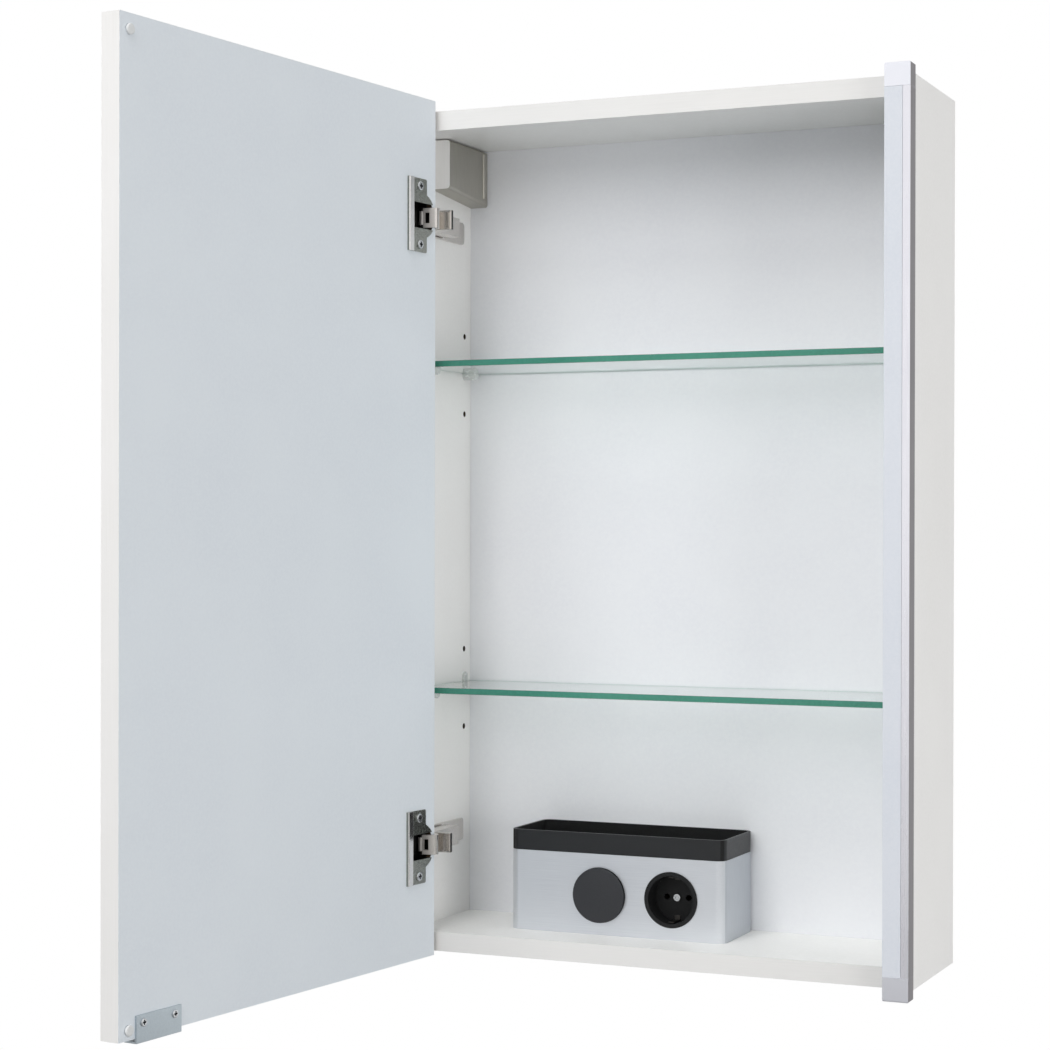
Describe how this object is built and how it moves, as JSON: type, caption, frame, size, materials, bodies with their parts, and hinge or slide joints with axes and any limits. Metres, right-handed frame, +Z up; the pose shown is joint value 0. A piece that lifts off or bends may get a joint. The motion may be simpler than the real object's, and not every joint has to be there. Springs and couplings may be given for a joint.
{
  "type": "lighted mirror cabinet",
  "caption": "Wall-hung bathroom cabinet with a mirror door on cup hinges, upright lamps at both front edges, glass shelves and a box with switch, socket and tray.",
  "frame": {"origin": "middle of the four wall screws, on the wall", "axes": "+Z up, +Y into the wall, +X to the right for someone who faces the cabinet"},
  "size_m": [0.4688, 0.5257, 0.715],
  "materials": {
    "white_melamine_board": "smooth white melamine on chipboard",
    "white_edge_band": "satin white edge band",
    "white_hardboard": "white lacquered hardboard",
    "grey_melamine_board": "matte pale blue-grey melamine on chipboard",
    "mirror": "silvered float glass",
    "beech": "raw beech",
    "float_glass": "polished clear float glass with green edges",
    "clear_plastic": "clear moulded plastic",
    "nickel_plated_steel": "bright nickel plate on pressed steel",
    "bright_steel": "bright zinc-plated steel",
    "anodised_aluminium": "satin anodised extrusion",
    "opal_plastic": "frosted opal plastic",
    "led_board": "white circuit board",
    "silver_plastic": "silver painted plastic",
    "black_plastic": "fine-grained black plastic",
    "white_plastic": "white moulded plastic",
    "brass": "bare brass",
    "black_rubber": "soft black rubber",
    "zinc_die_cast": "satin zinc die casting",
    "galvanised_steel": "galvanised steel sheet",
    "satin_nickel": "satin nickel"
  },
  "bodies": {
    "cabinet": {"back_panel": "white_hardboard", "bottom_panel": "white_melamine_board", "cable_grommet": "black_rubber", "carcass_dowels": "beech", "carcass_edging": "white_edge_band", "glass_shelf_lower": "float_glass", "glass_shelf_upper": "float_glass", "hanger_adjusting_screws": "bright_steel", "hanger_body_left": "zinc_die_cast", "hanger_body_right": "zinc_die_cast", "hanger_cover_left": "satin_nickel", "hanger_cover_right": "satin_nickel", "hanger_hook_left": "galvanised_steel", "hanger_hook_right": "galvanised_steel", "hinge_arm_lower": "nickel_plated_steel", "hinge_arm_upper": "nickel_plated_steel", "hinge_plate_lower": "nickel_plated_steel", "hinge_plate_screws": "bright_steel", "hinge_plate_upper": "nickel_plated_steel", "lamp_diffuser_left": "opal_plastic", "lamp_diffuser_right": "opal_plastic", "lamp_end_caps_left": "silver_plastic", "lamp_end_caps_right": "silver_plastic", "lamp_led_strip_left": "led_board", "lamp_led_strip_right": "led_board", "lamp_profile_left": "anodised_aluminium", "lamp_profile_right": "anodised_aluminium", "lamp_screws": "bright_steel", "led_driver": "white_plastic", "shelf_supports_lower": "clear_plastic", "shelf_supports_upper": "clear_plastic", "side_panel_left": "white_melamine_board", "side_panel_right": "white_melamine_board", "socket_box_base": "black_plastic", "socket_box_screws": "bright_steel", "socket_box_sleeve": "anodised_aluminium", "socket_box_tray": "black_plastic", "socket_centre_screw": "bright_steel", "socket_contacts": "brass", "socket_earth_clips": "bright_steel", "socket_insert": "black_plastic", "switch_bezel": "black_plastic", "switch_mechanism": "black_plastic", "top_panel": "white_melamine_board", "wall_plate_left": "galvanised_steel", "wall_plate_right": "galvanised_steel"},
    "door": {"door_board": "grey_melamine_board", "door_mirror": "mirror", "door_edging": "white_edge_band", "door_bumpers": "clear_plastic", "finger_pull": "zinc_die_cast", "finger_pull_screws": "bright_steel", "hinge_cup_upper": "nickel_plated_steel", "hinge_cup_lower": "nickel_plated_steel", "hinge_pins": "bright_steel", "hinge_springs": "bright_steel", "hinge_cup_screws": "bright_steel"},
    "switch_button": {"switch_button": "black_plastic"}
  },
  "joints": [
    {"name": "door_hinge", "type": "hinge", "parent": "cabinet", "child": "door", "pos_m": [-0.1915, -0.1375, -0.31], "axis": [0, 0, 1], "range_deg": [0, 96.9]},
    {"name": "switch_push", "type": "slide", "parent": "cabinet", "child": "switch_button", "axis": [0, 1, 0], "range_m": [0, 0.0015], "stiffness_N_per_m": 800, "springref_m": -0.001}
  ]
}
